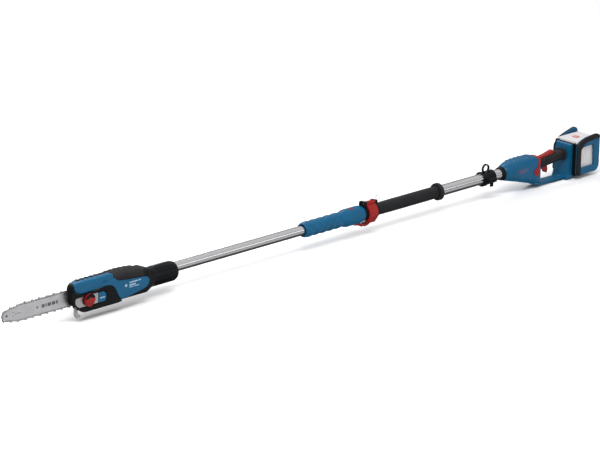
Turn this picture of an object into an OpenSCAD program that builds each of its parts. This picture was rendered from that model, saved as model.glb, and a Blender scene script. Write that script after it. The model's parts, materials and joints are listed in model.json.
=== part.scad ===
// Telescoping pole saw. +X runs from the saw head to the rear handle, +Z is up, -Y is the chain cover's side.
// The origin is the centre of the flat foot under the rear handle, on the floor.

/* [Pole] */
// Height of the pole's axis above the foot's sole
axis_z = 68; // [66:1:70]
// Outside diameter of the inner tube
inner_od = 28; // [27.9:0.05:28]
// Outside diameter of the outer tube
outer_od = 32; // [32:0.1:33]
// Wall of both tubes
tube_wall = 1.5; // [1.2:0.1:1.5]
// Front end of the inner tube, inside the saw head
inner_front = -1625; // [-1640:1:-1610]
// Rear end of the inner tube, inside the outer tube
inner_rear = -760; // [-800:1:-740]
// Front end of the outer tube
outer_front = -1076; // [-1080:1:-1060]
// Rear end of the outer tube, inside the handle
outer_rear = -205; // [-215:1:-200]

/* [Coupling sleeve and clamp] */
// Front end of the sleeve
sleeve_front = -1086; // [-1090:1:-1082]
// Rear end of the sleeve
sleeve_rear = -852; // [-856:1:-852]
// Radius of the ribbed front part
sleeve_r = 21.8; // [21:0.1:22.5]
// Radius of the plain rear part
sleeve_rear_r = 25.5; // [25:0.1:26]
// Radius of the clamp collar
collar_r = 23.2; // [23:0.1:23.5]
// Rear end of the clamp collar
collar_rear = -798; // [-800:1:-797]

/* [Pole fittings] */
// Radius of the foam grip
foam_r = 18.2; // [18:0.1:20]
// Front end of the foam grip
foam_front = -794; // [-796:1:-790]
// Rear end of the foam grip
foam_rear = -542; // [-560:1:-540]
// Centre of the carrying-strap eye
eye_x = -333; // [-335:1:-331]
// Radius of the strap eye's hole
eye_r = 10.5; // [10:0.1:10.5]

/* [Saw head] */
// Front face of the head
head_front = -1976; // [-1977:1:-1975]
// Face between the head's front bay and its motor housing
bay_rear = -1850; // [-1852:1:-1850]
// Rear end of the motor housing
motor_rear = -1577; // [-1579:1:-1576]
// Near side of the chain cover
cover_y = -34; // [-35:0.5:-33]
// Far side of the motor housing
far_y = 26; // [25:0.5:27]
// Radius of the motor housing
motor_r = 28; // [28:0.5:28.5]
// Thickness of the plastic walls
wall = 3; // [2.5:0.1:3]

/* [Cutting set] */
// Centre of the guide bar's nose
nose_x = -2189; // [-2195:1:-2185]
// Radius of the guide bar's nose
nose_r = 12; // [11.5:0.5:12.5]
// Half height of the guide bar
bar_half = 19.5; // [19:0.5:20]
// Thickness of the guide bar
bar_t = 3; // [2.8:0.1:3.2]
// Pitch between cutters
cutter_pitch = 25.4; // [25.4]
// Place of the drive sprocket's axis
sprocket_x = -1885; // [-1887:1:-1884]

/* [Rear handle] */
// Front end of the handle's nose ring
handle_front = -276; // [-277:1:-275]
// Half width of the front housing
housing_half = 28; // [27:0.5:28]
// Half width of the base bar
base_half = 17; // [17:0.5:18]
// Half width of the battery bay's front
bay_half = 29; // [28:0.5:30]
// Outer side of the battery guards
guard_y = 47; // [46:0.5:48]
// Thickness of the foot
foot_t = 3; // [3:0.5:4]

/* [Hidden] */
$fn = 48;
run_fit = 0.05;
inner_r = inner_od / 2;
outer_r = outer_od / 2;
outer_bore = outer_r - tube_wall;
motor_dz = 0;
housing_dz = -8;
bar_dz = 3;
bar_y = -13;
slot_y = -16.5;
web_y = -10;
case_y = 22;
stud_x = -1916;
stud_dz = -8;
stud_r = 3;
knob_r = 18;
shaft_r = 4;
chain_t = 4;
sprocket_r = 15;
gear_r = 27;
gear_ratio = 3;
sole_dz = foot_t - axis_z;
lever_y = -9;
lever_dz = 30.5;
pin_r = 2;
eye_dz = 28.5;
strap_screw_x = -333;
strap_screw_y = -26;
trigger_pin = [-103, -13];
lock_pin = [-104, 15];
catch_pin = [-880, -24];
pack_half = 39;
pack_front = 21;
pack_rear = 112;
pack_bottom = -50;
pack_top = 48;

// ---- shared shapes: dz and z values are heights above the pole's axis ----

// a tube or rod along X
module tube_x(x0, x1, r, bore = 0, dz = 0, dy = 0) {
    translate([x0, dy, axis_z + dz])
        rotate([0, 90, 0])
            difference() {
                cylinder(r = r, h = x1 - x0);
                if (bore > 0)
                    translate([0, 0, -1])
                        cylinder(r = bore, h = x1 - x0 + 2);
            }
}

// a rod or tube along Y
module rod_y(x, dz, y0, y1, r, bore = 0) {
    translate([x, y0, axis_z + dz])
        rotate([-90, 0, 0])
            difference() {
                cylinder(r = r, h = y1 - y0);
                if (bore > 0)
                    translate([0, 0, -1])
                        cylinder(r = bore, h = y1 - y0 + 2);
            }
}

// an outline in X and Z, made thick from y0 to y1
module slab_y(y0, y1) {
    translate([0, y1, axis_z])
        rotate([90, 0, 0])
            linear_extrude(y1 - y0)
                children();
}

// an outline in Y and Z, made thick from x0 to x1
module slab_x(x0, x1) {
    translate([x0, 0, axis_z])
        rotate([90, 0, 90])
            linear_extrude(x1 - x0)
                children();
}

module box(x0, x1, y0, y1, z0, z1) {
    translate([x0, y0, axis_z + z0])
        cube([x1 - x0, y1 - y0, z1 - z0]);
}

// a rectangle with round corners
module round_rect(u0, u1, v0, v1, r) {
    translate([u0 + r, v0])
        square([u1 - u0 - 2 * r, v1 - v0]);
    translate([u0, v0 + r])
        square([u1 - u0, v1 - v0 - 2 * r]);
    for (u = [u0 + r, u1 - r], v = [v0 + r, v1 - r])
        translate([u, v])
            circle(r);
}

// the revolved outline of points [x, radius], about the pole's axis or dz above it
module turned(points, dz = 0) {
    translate([0, 0, axis_z + dz])
        rotate([0, 90, 0])
            rotate_extrude()
                polygon([for (p = points) [p[1], p[0]]]);
}

// the near (side -1) or far (side +1) half of a child
module half(side) {
    intersection() {
        children();
        translate([-2500, side < 0 ? -200 : 0, -100])
            cube([3000, 200, 400]);
    }
}

// a screw head with its shank, along Y; side -1 shows its head to the near side
module screw_y(x, dz, y, side, r = 3, long = 12) {
    rod_y(x, dz, side < 0 ? y : y - 2, side < 0 ? y + 2 : y, r);
    rod_y(x, dz, side < 0 ? y + 2 : y - 2 - long, side < 0 ? y + 2 + long : y - 2, r / 2);
}

// ---- tubes ----

module inner_tube() {
    color("silver")
        tube_x(inner_front, inner_rear, inner_r, inner_r - tube_wall);
}

module slide_bush() {
    color("dimgray")
        tube_x(inner_rear - 30, inner_rear, outer_bore - run_fit, inner_r);
}

module front_lead() {
    color("black")
        tube_x(inner_front + 5, inner_rear - 10, 2.5);
}

module outer_tube() {
    color("silver")
        tube_x(outer_front, outer_rear, outer_r, outer_bore);
}

module coil_lead() {
    color("black")
        tube_x(-700, -290, 11, 8);
}

// ---- saw head ----

module head_section() {
    round_rect(cover_y, 40, -40, 80, 8);
}

module bay_outline(gap = 0) {
    polygon([[head_front + gap, 46 - gap], [head_front + gap, -8 + gap / 2],
        [head_front + 35 + gap / 2, -40 + gap], [bay_rear, -40 + gap], [bay_rear, 46 - gap]]);
}

// the web behind the guide bar, and the gear case on its far side
module web_outline() {
    polygon([[-1950, 24], [-1944, 31], [bay_rear, 31], [bay_rear, -37], [-1944, -37], [-1950, -30]]);
}

module case_outline() {
    polygon([[-1926, 24], [-1920, 31], [bay_rear, 31], [bay_rear, -37], [-1914, -37], [-1926, -26]]);
}

// motor housing: a rounded box in front, then a round barrel with a rounded end
module box_section(gap = 0) {
    round_rect(-31 + gap, far_y - gap, -39 + gap, 30 - gap, 12 - gap);
}

module rear_solid(gap = 0) {
    slab_x(bay_rear + gap, -1700)
        box_section(gap);
    hull() {
        slab_x(-1701, -1700)
            box_section(gap);
        tube_x(-1673, -1672, motor_r - gap, dz = housing_dz);
    }
    turned([[-1673, 0], [-1673, motor_r - gap], [motor_rear - 12, motor_r - gap],
        [motor_rear - 4, motor_r - 3 - gap], [motor_rear - gap, motor_r - 8 - gap], [motor_rear - gap, 0]],
        housing_dz);
}

module rear_shell(side) {
    half(side)
        difference() {
            rear_solid();
            difference() {
                rear_solid(wall);
                tube_x(inner_front - 4, motor_rear, inner_r + 5);
            }
            tube_x(inner_front, motor_rear + 1, inner_r);
            tube_x(bay_rear - 1, bay_rear + wall + 1, 11, dz = motor_dz);
            head_screw_places(true);
        }
}

module housing_near() {
    color([0.1, 0.1, 0.11])
        rear_shell(-1);
}

module housing_far() {
    color([0.1, 0.1, 0.11]) {
        rear_shell(1);
        difference() {
            union() {
                slab_y(web_y, web_y + 3.5)
                    web_outline();
                slab_y(web_y, case_y)
                    case_outline();
            }
            slab_y(web_y + 3.5, case_y - wall)
                offset(delta = -wall)
                    case_outline();
            rod_y(sprocket_x, motor_dz, -20, 0, 7);
            tube_x(-1867, bay_rear + 1, 11, dz = motor_dz);
        }
    }
}

module top_cover() {
    color([0.05, 0.3, 0.5])
        difference() {
            intersection() {
                slab_y(cover_y, -7)
                    polygon([[head_front, 12], [head_front, 32], [head_front + 8, 41], [head_front + 18, 46],
                        [head_front + 26, 47.5], [-1834, 47.5], [-1834, 36], [-1829, 31], [bay_rear, 31], [bay_rear, 12]]);
                slab_x(head_front, -1829) {
                    round_rect(cover_y, -7, -60, 47.5, 12);
                    translate([-19, -20])
                        square([12, 67.5]);
                }
            }
            box(-2000, bay_rear + 1, -17, -6, 11, 31.5);
            box(-1964, -1856, -31, -19.5, 11, 43);
            rod_y(-1935, 38, -20, -6, 5.2);
        }
}

module top_ridge() {
    color([0.12, 0.12, 0.13]) {
        box(-1948, -1866, -13, -7.5, 47.5, 49);
        for (x = [-1947 : 10 : -1870])
            box(x, x + 5, -13, -7.5, 49, 50.5);
    }
}

module hump_section() {
    hull() {
        translate([-4, 16])
            circle(26);
        translate([-21, 31])
            circle(12);
        translate([-33, 0])
            square([55, 10]);
    }
}

module top_pad() {
    color([0.14, 0.14, 0.15])
        difference() {
            union() {
                intersection() {
                    slab_x(-1834, -1692)
                        hump_section();
                    slab_y(-40, 40)
                        polygon([[-1834, 43], [-1818, 43], [-1752, 41], [-1721, 38], [-1700, 31], [-1692, 26], [-1692, 17],
                            [-1777, 19], [-1812, 22], [-1828, 31.5], [-1834, 36]]);
                }
                intersection() {
                    slab_x(bay_rear, -1834)
                        hump_section();
                    box(bay_rear, -1834, -7, 30, 30, 43);
                }
            }
            slab_x(bay_rear - 1, -1700)
                box_section();
            rear_solid();
        }
}

module side_panel() {
    color([0.05, 0.3, 0.5])
        slab_y(-34, -31)
            polygon([[-1850, 30], [-1828, 30], [-1812, 21], [-1777, 17], [-1710, 11], [-1701, 6], [-1697, -4], [-1700, -16],
                [-1708, -24], [-1740, -29], [-1791, -34], [-1803, -30], [-1812, -18], [-1822, 4], [-1832, 13], [-1850, 18]]);
}

module chain_cover() {
    color([0.08, 0.08, 0.09])
        difference() {
            intersection() {
                slab_y(cover_y, slot_y)
                    bay_outline();
                slab_x(head_front, bay_rear)
                    head_section();
                box(-2000, bay_rear, -40, 0, -50, 12);
            }
            intersection() {
                slab_y(-27, slot_y + 1)
                    bay_outline(wall);
                box(head_front - 2, bay_rear - wall, -28, 0, -60, 9);
            }
            slab_y(cover_y - 1, -30)
                round_rect(head_front + 11, bay_rear - 2, -26, 5, 4);
            rod_y(stud_x, stud_dz, -32, -20, stud_r + 1.5);
        }
}

module cover_plate() {
    color([0.75, 0.75, 0.76])
        difference() {
            slab_y(-31.5, -30)
                round_rect(head_front + 12, -1881, -25, 4, 3);
            rod_y(stud_x, stud_dz, -34, -28, stud_r + 1.5);
        }
}

module cover_insert() {
    color([0.05, 0.3, 0.5])
        slab_y(-33, -30)
            polygon([[-1880, 3], [-1862, 4], [-1853, -4], [-1853, -20], [-1858, -25], [-1880, -25]]);
}

module bar_stud() {
    color([0.6, 0.6, 0.6]) {
        rod_y(stud_x, stud_dz, -37, web_y, stud_r);
        rod_y(stud_x, stud_dz, web_y - 1.4, web_y, 7);
    }
}

module bar_outline(grow = 0) {
    hull() {
        translate([nose_x, bar_dz])
            circle(nose_r + grow, $fn = 32);
        translate([nose_x + 44, bar_dz - bar_half - grow])
            square([10, 2 * (bar_half + grow)]);
    }
    translate([nose_x + 44, bar_dz - bar_half - grow])
        square([-1904 - nose_x - 44, 2 * (bar_half + grow)]);
    translate([-1904, bar_dz])
        intersection() {
            circle(bar_half + grow);
            translate([-40, -40])
                square([43, 80]);
        }
}

module guide_bar() {
    color([0.8, 0.8, 0.82])
        difference() {
            slab_y(bar_y - bar_t / 2, bar_y + bar_t / 2)
                bar_outline();
            rod_y(nose_x, bar_dz, bar_y - 0.8, bar_y + 0.8, nose_r + 4, 3);
            slab_y(bar_y - 5, bar_y + 5)
                round_rect(-1932, -1904, stud_dz - stud_r - 0.2, stud_dz + stud_r + 0.2, stud_r + 0.19);
        }
}

module nose_sprocket() {
    color("silver")
        difference() {
            rod_y(nose_x, bar_dz, bar_y - 0.5, bar_y + 0.5, 11, 3 + run_fit);
            for (a = [0 : 40 : 320])
                translate([nose_x + 12.5 * cos(a), bar_y, axis_z + bar_dz + 12.5 * sin(a)])
                    rotate([90, 0, 0])
                        cylinder(r = 3, h = 4, center = true);
        }
}

// the loop that the chain lies in: along the bar's edge, then round the sprocket
module chain_path(grow) {
    hull() {
        translate([nose_x, bar_dz])
            circle(nose_r + grow, $fn = 32);
        translate([nose_x + 44, bar_dz - bar_half - grow])
            square([250, 2 * (bar_half + grow)]);
        translate([sprocket_x, motor_dz])
            circle(sprocket_r + 0.4 + grow, $fn = 32);
    }
}

module saw_chain() {
    color([0.7, 0.7, 0.72]) {
        slab_y(bar_y - chain_t / 2, bar_y + chain_t / 2)
            difference() {
                chain_path(4.4);
                chain_path(0.4);
            }
        for (side = [-1, 1], i = [0 : 9])
            translate([nose_x + 50 + i * cutter_pitch, bar_y, axis_z + bar_dz + side * (bar_half + 4.2)])
                mirror([0, 0, side < 0 ? 1 : 0])
                    rotate([90, 0, 0])
                        linear_extrude(chain_t, center = true)
                            polygon([[-7, 0], [-7, 2.6], [-4.5, 1.4], [-2.5, 0.4], [0, 1.2], [1.5, 3], [8, 2],
                                [9, 0]]);
    }
}

module branch_hook() {
    color([0.7, 0.7, 0.68])
        slab_y(-16, web_y)
            polygon([[-1950, -26], [-1938, -26], [-1939, -45], [-1935, -52], [-1929, -53.5], [-1929, -58], [-1934, -60.5],
                [-1942, -60.5], [-1948, -55], [-1951, -47], [-1951, -40]]);
}

module bumper_spikes() {
    color([0.15, 0.15, 0.16])
        slab_y(web_y, web_y + 3) {
            translate([-1954, -20])
                square([4, 42]);
            for (z = [-19 : 7 : 16])
                polygon([[-1953, z], [-1954, z], [-1960, z + 2.5], [-1954, z + 5], [-1953, z + 5]]);
        }
}

module motor_stator() {
    color([0.5, 0.35, 0.2])
        tube_x(-1790, -1722, 22, 14, dz = motor_dz);
}

module bearings() {
    color([0.6, 0.6, 0.62]) {
        tube_x(bay_rear, bay_rear + 7, 11, shaft_r + run_fit, dz = motor_dz);
        tube_x(-1716, -1709, 11, shaft_r + run_fit, dz = motor_dz);
        rod_y(sprocket_x, motor_dz, web_y, web_y + 3.5, 7, shaft_r + run_fit);
        rod_y(sprocket_x, motor_dz, case_y - wall - 5, case_y - wall, 9, shaft_r + run_fit);
    }
}

module oil_tank() {
    color([0.8, 0.75, 0.6])
        difference() {
            union() {
                box(-1962, -1858, -30.5, -20, 13, 42.5);
                rod_y(-1935, 38, -21, -12, 5);
            }
            box(-1960, -1860, -28.5, -22, 15, 40.5);
            rod_y(-1935, 38, -23, -11, 3.4);
        }
}

// the screws that hold the motor housing's halves together, or the holes that they stand in
module head_screw_places(holes = false) {
    for (p = [[-1842, -24, -30.5], [-1650, -26, -19], [-1610, -26, -19]])
        translate([0, p[2], 0]) {
            screw_y(p[0], p[1], 0, -1, 3, 8);
            if (holes)
                rod_y(p[0], p[1], -20, 0.5, 3);
        }
}

module head_screws() {
    color([0.45, 0.45, 0.47])
        head_screw_places();
}

// ---- moving pieces of the head ----

module rotor() {
    color([0.55, 0.55, 0.57]) {
        tube_x(-1788, -1724, 13, dz = motor_dz);
        tube_x(-1862, -1705, shaft_r, dz = motor_dz);
        translate([sprocket_x + 0.8 * gear_r, 0, axis_z + motor_dz])
            rotate([0, 90, 0])
                cylinder(r1 = 0.8 * gear_r / gear_ratio - 0.3, r2 = gear_r / gear_ratio - 0.3, h = 0.2 * gear_r);
    }
}

module output_gear() {
    cone_y = gear_r / gear_ratio;
    color([0.5, 0.5, 0.52]) {
        translate([sprocket_x, 0.8 * cone_y, axis_z + motor_dz])
            rotate([-90, 0, 0])
                cylinder(r1 = 0.8 * gear_r - 0.3, r2 = gear_r - 0.3, h = 0.2 * cone_y);
        rod_y(sprocket_x, motor_dz, cone_y, 13, gear_r - 0.3);
        rod_y(sprocket_x, motor_dz, -24, case_y - wall - 1, shaft_r);
    }
}

module drive_sprocket() {
    color([0.4, 0.4, 0.42])
        difference() {
            rod_y(sprocket_x, motor_dz, bar_y - 2.5, bar_y + 2.5, sprocket_r, shaft_r);
            for (i = [0 : 6])
                translate([sprocket_x, bar_y, axis_z + motor_dz])
                    rotate([0, i * 360 / 7, 0])
                        translate([sprocket_r + 1, 0, 0])
                            rotate([90, 0, 0])
                                cylinder(r = 4, h = 20, center = true);
        }
}

module bar_knob() {
    color([0.75, 0.08, 0.06])
        difference() {
            union() {
                rod_y(stud_x, stud_dz, -34.4, -31.6, 9);
                rod_y(stud_x, stud_dz, -39, -34.4, knob_r);
                rod_y(stud_x, stud_dz, -42, -39, 8);
                slab_y(-42, -39)
                    translate([stud_x, stud_dz])
                        round_rect(-knob_r + 1.5, knob_r - 1.5, -4.5, 4.5, 4);
            }
            rod_y(stud_x, stud_dz, -37.5, -30, stud_r + run_fit);
        }
}

module knob_cap() {
    color([0.08, 0.08, 0.09])
        slab_y(-40.5, -39)
            translate([stud_x, stud_dz])
                difference() {
                    circle(knob_r);
                    circle(8);
                    translate([-20, -30])
                        square([40, 35]);
                }
}

module oil_cap() {
    color([0.1, 0.1, 0.1]) {
        rod_y(-1935, 38, -11.5, -6.9, 4.8);
        rod_y(-1935, 38, -6.9, -3, 6.8);
        slab_y(-3, 0)
            translate([-1935, 38])
                round_rect(-6, 6, -2, 2, 1.9);
    }
}

// ---- coupling sleeve and clamp ----

module sleeve_half(side) {
    rib = 1;
    color([0.05, 0.35, 0.6])
        half(side)
            difference() {
                union() {
                    turned([[sleeve_front, 0], [sleeve_front, 19], [sleeve_front + 6, 21],
                        [sleeve_front + 12, sleeve_r], [-928, sleeve_r], [-920, sleeve_rear_r],
                        [-868, sleeve_rear_r], [sleeve_rear, 23.5], [sleeve_rear, 0]]);
                    for (x = [sleeve_front + 16 : 28 : -950])
                        tube_x(x, x + 16, sleeve_r + rib);
                }
                tube_x(sleeve_front - 1, sleeve_rear + 1, outer_r);
                box(-888, sleeve_rear + 1, -6.5, 6.5, -40, -16.5);
            }
}

module sleeve_near() {
    sleeve_half(-1);
}

module sleeve_far() {
    sleeve_half(1);
}

module clamp_collar() {
    color([0.08, 0.08, 0.09])
        difference() {
            union() {
                tube_x(sleeve_rear, collar_rear, collar_r);
                slab_x(sleeve_rear, -842)
                    round_rect(lever_y - 5, 8, 0, 36, 4);
                slab_x(-808, collar_rear)
                    round_rect(lever_y - 5, 8, 0, 33, 4);
            }
            tube_x(sleeve_rear - 1, collar_rear + 1, outer_r);
            box(sleeve_rear - 1, collar_rear + 1, 1, 4, 10, 40);
            tube_x(sleeve_rear - 1, collar_rear + 1, pin_r, dz = lever_dz, dy = lever_y);
        }
}

module clamp_pin() {
    color([0.7, 0.7, 0.7])
        tube_x(sleeve_rear + 1, collar_rear + 3, pin_r, dz = lever_dz, dy = lever_y);
}

module clamp_lever() {
    color([0.7, 0.08, 0.07])
        difference() {
            union() {
                tube_x(-841.5, -808.5, 6, dz = lever_dz, dy = lever_y);
                intersection() {
                    tube_x(-841.5, -808.5, collar_r + 6, collar_r + 0.6);
                    box(-850, -800, -40, lever_y, -27, 28);
                }
                slab_x(-838, -812)
                    polygon([[-22, -19.5], [-21, -26], [-13, -30], [-12, -27], [-18, -22]]);
            }
            tube_x(-845, -805, pin_r + run_fit, dz = lever_dz, dy = lever_y);
        }
}

module pin_clip() {
    color([0.75, 0.75, 0.75])
        translate([collar_rear + 3.9, lever_y, axis_z + lever_dz + 7])
            rotate([90, 0, 90])
                rotate_extrude()
                    translate([7, 0])
                        circle(0.9);
}

module release_catch() {
    color([0.75, 0.1, 0.08])
        difference() {
            slab_y(-5.5, 5.5)
                polygon([[-886, -21], [-886, -27], [-862, -32], [-840, -38], [-822, -35], [-816, -30], [-818, -27.8],
                    [-830, -28.5], [-846, -31], [-858, -26.5], [-858, -21.5]]);
            rod_y(catch_pin[0], catch_pin[1], -10, 10, 1.5 + run_fit);
        }
}

// ---- pole fittings ----

module foam_grip() {
    color([0.22, 0.22, 0.23])
        turned([[foam_front, outer_r], [foam_front, foam_r - 1], [foam_front + 2, foam_r],
            [foam_rear - 30, foam_r], [foam_rear, foam_r + 1.5], [foam_rear, outer_r]]);
}

module grip_end_ring() {
    color([0.08, 0.08, 0.09])
        turned([[foam_rear, outer_r], [foam_rear, 23.5], [foam_rear + 2, 25.5], [foam_rear + 10, 25.5],
            [foam_rear + 14, 21.5], [foam_rear + 14, outer_r]]);
}

module strap_body() {
    tube_x(-342, -306, 20.5);
    tube_x(-352, -341, 22.5);
}

module strap_clamp_upper() {
    color([0.08, 0.08, 0.09])
        difference() {
            union() {
                difference() {
                    intersection() {
                        strap_body();
                        box(-400, -280, -30, 30, 0.5, 30);
                    }
                    box(-354, eye_x + eye_r + 1, -30, 30, 17.6, 30);
                }
                box(-350, -318, -33, -15, 0.5, 6);
                box(-350, -312, 15, 23, 0.5, 6);
                rod_y(eye_x, eye_dz, -3, 3, eye_r + 3.5);
            }
            rod_y(eye_x, eye_dz, -4, 4, eye_r);
            tube_x(-380, -280, outer_r + run_fit);
            translate([strap_screw_x, strap_screw_y, axis_z - 1])
                cylinder(r = 2.7, h = 9);
        }
}

module strap_clamp_lower() {
    color([0.08, 0.08, 0.09])
        difference() {
            union() {
                intersection() {
                    strap_body();
                    box(-400, -280, -30, 30, -30, -0.5);
                }
                box(-350, -318, -33, -15, -6, -0.5);
                box(-350, -312, 15, 23, -6, -0.5);
            }
            tube_x(-380, -280, outer_r + run_fit);
            translate([strap_screw_x, strap_screw_y, axis_z - 7])
                cylinder(r = 2.7, h = 8);
        }
}

module strap_screw() {
    color([0.1, 0.1, 0.1])
        translate([strap_screw_x, strap_screw_y, axis_z]) {
            translate([0, 0, -16])
                cylinder(r = 2.6, h = 20);
            translate([0, 0, -13])
                cylinder(r = 5, h = 6.6);
            translate([-6, -1.5, -20])
                cube([12, 3, 12]);
        }
}

// ---- rear handle ----

module front_section(x, half_y, low, high, r, gap = 0) {
    slab_x(x, x + 0.5)
        round_rect(-half_y + gap, half_y - gap, low + gap, high - gap, r - gap);
}

// the front housing: from the nose, wider and higher, then down to the base bar
module front_solid(gap = 0) {
    hull() {
        front_section(-264, 19, -20, 19, 13, gap);
        front_section(-244, 24, -25, 27, 13, gap);
    }
    hull() {
        front_section(-244, 24, -25, 27, 13, gap);
        front_section(-215, housing_half, -32, 32, 14, gap);
    }
    hull() {
        front_section(-215, housing_half, -32, 32, 14, gap);
        front_section(-131, housing_half, -58, 32, 14, gap);
    }
    hull() {
        front_section(-131, housing_half, -58, 32, 14, gap);
        front_section(-122 - gap, housing_half - 3, -61, 20, 10, gap);
    }
}

module front_cavity() {
    intersection() {
        front_solid(wall);
        box(-250, -124, -40, 40, -49, 40);
    }
}

// a section of the grip, which rises towards the battery bay
module grip_section(x, grow = 0) {
    low = -15 + (x + 126) * 0.09;
    slab_x(x, x + 0.5)
        round_rect(-11 - grow, 11 + grow, low - grow / 2, low + 25 + grow / 2, 7 + grow / 2);
}

module grip_solid(x0, x1, grow = 0) {
    hull() {
        grip_section(x0, grow);
        grip_section(x1, grow);
    }
}

module handle_solid() {
    front_solid();
    grip_solid(-126, 5);
    hull() {
        slab_x(-136, -135)
            round_rect(-housing_half + 2, housing_half - 2, -60, -50, 4);
        slab_x(-109, -108)
            round_rect(-housing_half + 4, housing_half - 4, sole_dz, -57, 3);
    }
    hull() {
        slab_x(-109, -108)
            round_rect(-housing_half + 4, housing_half - 4, sole_dz, -57, 3);
        slab_x(-74, -73)
            round_rect(-base_half, base_half, sole_dz, -57, 3);
    }
    slab_x(-74, 5)
        round_rect(-base_half, base_half, sole_dz, -57, 3);
    slab_y(-24, 24)
        polygon([[-4, -56], [80, -56], [80, sole_dz], [-4, sole_dz]]);
    bay_block();
}

// the upright block in front of the battery, with its slanted face
module bay_block() {
    slab_y(-bay_half, bay_half)
        polygon([[-7, -60], [-3, -50], [0, -16], [6, 34], [9, 40], [16, 40], [16, sole_dz], [-7, sole_dz]]);
}

module handle_shell(side) {
    color([0.05, 0.32, 0.55])
        half(side)
            difference() {
                handle_solid();
                difference() {
                    front_cavity();
                    tube_x(-260, -200, outer_r + 4);
                }
                tube_x(-270, outer_rear, outer_r + 0.1);
                slab_y(-15, 15)
                    polygon([[3, -45], [6, -16], [12, 26], [13, 26], [13, -45]]);
                slab_y(-7, 7)
                    polygon([[-125, -9], [-125, 2], [-60, 2], [-60, -20], [-120, -22]]);
                box(-125, -32, -7, 7, 7, 25);
                handle_screw_places(0.1);
            }
}

module handle_shell_near() {
    handle_shell(-1);
}

module handle_shell_far() {
    handle_shell(1);
}

module nose_ring() {
    color([0.08, 0.08, 0.09])
        turned([[handle_front, outer_r], [handle_front, 17.5], [handle_front + 2, 19],
            [-264, 21.5], [-264, outer_r]]);
}

module trim_section(grow = 0) {
    round_rect(-housing_half - grow, housing_half + grow, -80, 32 + grow, 14 + grow);
}

module handle_trim() {
    color([0.75, 0.08, 0.06])
        difference() {
            union() {
                intersection() {
                    slab_x(-143, -134)
                        trim_section(2.5);
                    box(-150, -130, -40, 40, -10, 40);
                }
                intersection() {
                    slab_y(-housing_half - 2.5, housing_half + 2.5)
                        translate([-139, -13])
                            circle(11);
                    slab_x(-160, -120)
                        trim_section(2.5);
                }
            }
            slab_x(-170, -120)
                trim_section();
        }
}

module grip_cover() {
    color([0.12, 0.12, 0.13])
        difference() {
            union() {
                grip_solid(-112, -1, 4);
                grip_solid(-9, -1, 9);
            }
            grip_solid(-127, 10);
            bay_block();
            box(-114, -62, -7, 7, -30, -8);
            box(-120, -34, -7, 7, 7, 40);
        }
}

module trigger_switch() {
    color([0.15, 0.15, 0.16])
        box(-156, -128, -8, 8, -14, 4);
}

module control_board() {
    color([0.1, 0.35, 0.15]) {
        box(-198, -162, -20, -18, -22, 16);
        for (i = [0 : 2])
            box(-194 + i * 11, -186 + i * 11, -18, -12, -10, 4);
    }
}

module battery_cradle() {
    color([0.09, 0.09, 0.1]) {
        box(16, 20, -41, 41, -56, 42);
        for (side = [-1, 1]) {
            box(20, 33, side < 0 ? -41 : 39.6, side < 0 ? -39.6 : 41, -54, 42);
            box(20, 28, side < 0 ? -34 : 30, side < 0 ? -30 : 34, -46, 40);
        }
    }
}

module guard_outline() {
    polygon([[18, -54], [18, 34], [24, 42], [50, 61], [101, 61], [114, 50], [116, -42], [104, -54]]);
}

module guard_window() {
    polygon([[34, -30], [33, 26], [45, 36], [89, 36], [91, -30]]);
}

module guard_bars() {
    difference() {
        guard_outline();
        guard_window();
    }
}

// the front and top bars, which carry the rubber
module bumper_zone() {
    polygon([[10, -60], [34, -60], [34, 26], [45, 36], [89, 36], [94, 46], [120, 50], [120, 70], [10, 70]]);
}

module guard(side) {
    color([0.05, 0.3, 0.52]) {
        slab_y(side < 0 ? -guard_y : 41, side < 0 ? -41 : guard_y)
            difference() {
                guard_bars();
                bumper_zone();
            }
        slab_y(side < 0 ? -44.5 : 41, side < 0 ? -41 : 44.5)
            offset(delta = -2)
                guard_bars();
    }
}

module guard_near() {
    guard(-1);
}

module guard_far() {
    guard(1);
}

module guard_bumpers() {
    color([0.16, 0.17, 0.18])
        for (side = [-1, 1])
            difference() {
                slab_y(side < 0 ? -guard_y - 2.5 : 41, side < 0 ? -41 : guard_y + 2.5)
                    intersection() {
                        guard_bars();
                        bumper_zone();
                    }
                slab_y(side < 0 ? -44.5 : 40, side < 0 ? -40 : 44.5)
                    offset(delta = -2)
                        guard_bars();
            }
}

module rear_foot() {
    color([0.1, 0.1, 0.1])
        slab_y(-16, 16)
            translate([-60, -axis_z])
                square([120, foot_t]);
}

module handle_screw_places(grow = 0) {
    for (p = [[-228, -14], [-168, -30], [-40, -61]])
        rod_y(p[0], p[1], p[0] > -100 ? -base_half - 1 : -housing_half - 1, p[0] > -100 ? -12 : -housing_half + 2, 3 + grow);
}

// the housing's screws and the pins of the trigger, the lock lever and the release catch
module handle_fasteners() {
    color([0.45, 0.45, 0.47]) {
        intersection() {
            handle_screw_places();
            union() {
                box(-300, -100, -housing_half + 0.5, 0, -70, 0);
                box(-100, 0, -base_half + 0.5, 0, -70, 0);
            }
        }
        rod_y(trigger_pin[0], trigger_pin[1], -7, 7, 1.5);
        rod_y(lock_pin[0], lock_pin[1], -7, 7, 1.5);
        rod_y(catch_pin[0], catch_pin[1], -6.5, 6.5, 1.5);
    }
}

module trigger() {
    color([0.8, 0.1, 0.08])
        difference() {
            slab_y(-6, 6)
                polygon([[-108, -9], [-98, -9.5], [-70, -13], [-67, -24], [-70, -35], [-75, -34], [-82, -25],
                    [-98, -18], [-108, -17]]);
            rod_y(trigger_pin[0], trigger_pin[1], -10, 10, 1.5 + run_fit);
        }
}

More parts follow.
